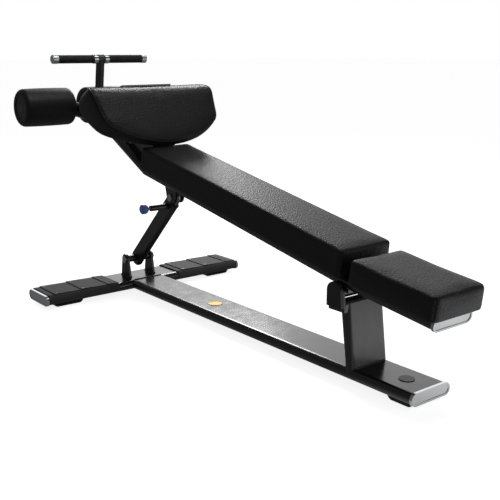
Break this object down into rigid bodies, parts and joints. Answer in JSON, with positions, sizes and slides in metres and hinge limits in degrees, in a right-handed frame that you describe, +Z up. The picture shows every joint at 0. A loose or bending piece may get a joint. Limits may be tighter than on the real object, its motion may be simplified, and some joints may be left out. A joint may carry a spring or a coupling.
{
  "type": "adjustable weight bench",
  "caption": "Adjustable sit-up and decline bench: T-shaped base, hinged back board with a head pad, thigh pad, foot rollers, T-handle and a telescopic strut with a pop-pin.",
  "frame": {"origin": "middle of the footprint's box, on the floor, at the board's lowest position", "axes": "+X along the bench towards the head pad, +Y across it, +Z up"},
  "size_m": [1.8928, 0.78, 0.8065],
  "materials": {
    "frame_black": "gloss powder coat",
    "strut_black": "satin powder coat",
    "bright_aluminium": "polished",
    "chrome_plate": "polished",
    "zinc_steel": "zinc plated",
    "bronze": "oiled sintered bronze",
    "tread_plastic": "moulded, fine texture",
    "black_plastic": "satin",
    "black_rubber": "matte",
    "black_vinyl": "matte upholstery vinyl",
    "roller_foam": "closed-cell foam with a soft skin",
    "plywood": "raw birch plywood",
    "shield_steel": "satin grey",
    "bar_steel": "gloss black",
    "badge_metal": "plain disc, satin",
    "blue_plastic": "moulded knob"
  },
  "bodies": {
    "base": {"base_rail": "frame_black", "base_crossbar": "frame_black", "rail_end_cap": "bright_aluminium", "crossbar_end_cap_left": "bright_aluminium", "crossbar_end_cap_right": "bright_aluminium", "tread_cover_left": "tread_plastic", "tread_cover_right": "tread_plastic", "tread_screws": "zinc_steel", "rubber_foot_left": "black_rubber", "rubber_foot_right": "black_rubber", "rubber_foot_head": "black_rubber", "upright_post": "frame_black", "post_top_plate": "frame_black", "hinge_ear_left": "frame_black", "hinge_ear_right": "frame_black", "hinge_cover_left": "black_plastic", "hinge_cover_right": "black_plastic", "hinge_bolt": "zinc_steel", "clevis_ear_left": "strut_black", "clevis_ear_right": "strut_black", "clevis_bolt": "zinc_steel", "rail_plug": "black_plastic", "rail_badge": "badge_metal"},
    "board": {"main_beam": "frame_black", "beam_end_cap": "bright_aluminium", "hinge_barrel": "frame_black", "hinge_bushes": "bronze", "long_pad_board": "plywood", "long_cushion": "black_vinyl", "head_pad_board": "plywood", "head_cushion": "black_vinyl", "upper_tube": "frame_black", "upper_end_plate": "frame_black", "thigh_brackets": "frame_black", "thigh_pad_board": "plywood", "thigh_shield": "shield_steel", "thigh_cushion": "black_vinyl", "foot_arm": "frame_black", "roller_axle": "zinc_steel", "handle_post": "frame_black", "handle_bar": "bar_steel", "handle_tee": "frame_black", "handle_collars": "bright_aluminium", "handle_end_caps": "chrome_plate", "grip_left": "black_rubber", "grip_right": "black_rubber", "strut_bracket": "strut_black", "strut_top_bolt": "zinc_steel"},
    "strut_tube": {"strut_outer": "strut_black", "strut_end_block": "strut_black", "strut_collar": "black_plastic", "pin_housing": "strut_black"},
    "strut_slider": {"strut_inner": "zinc_steel"},
    "pop_pin": {"pin_plunger": "chrome_plate", "pin_knob": "blue_plastic"},
    "roller_near": {"foam_roller_left": "roller_foam", "roller_core_left": "black_plastic"},
    "roller_far": {"foam_roller_right": "roller_foam", "roller_core_right": "black_plastic"}
  },
  "joints": [
    {"name": "incline", "type": "hinge", "parent": "base", "child": "board", "pos_m": [0.61857, 0, 0.233], "axis": [0, 1, 0], "range_deg": [0, 9]},
    {"name": "strut_swing", "type": "hinge", "parent": "base", "child": "strut_tube", "pos_m": [-0.46142, 0, 0.103], "axis": [0, -1, 0], "range_deg": [0, 9.12]},
    {"name": "strut_slide", "type": "slide", "parent": "strut_tube", "child": "strut_slider", "axis": [0.7071, 0, 0.7071], "range_m": [0, 0.1148]},
    {"name": "pin_pull", "type": "slide", "parent": "strut_tube", "child": "pop_pin", "axis": [0, 1, 0], "range_m": [0, 0.012]},
    {"name": "roller_near_spin", "type": "hinge", "parent": "board", "child": "roller_near", "pos_m": [-0.87692, 0, 0.616], "axis": [0, 1, 0], "continuous": true},
    {"name": "roller_far_spin", "type": "hinge", "parent": "board", "child": "roller_far", "pos_m": [-0.87692, 0, 0.616], "axis": [0, 1, 0], "continuous": true}
  ],
  "couplings": [
    {"joint": "strut_swing", "follows": "incline", "ratio": 1.0081},
    {"joint": "strut_slide", "follows": "incline", "m_per_rad": 0.72904}
  ]
}
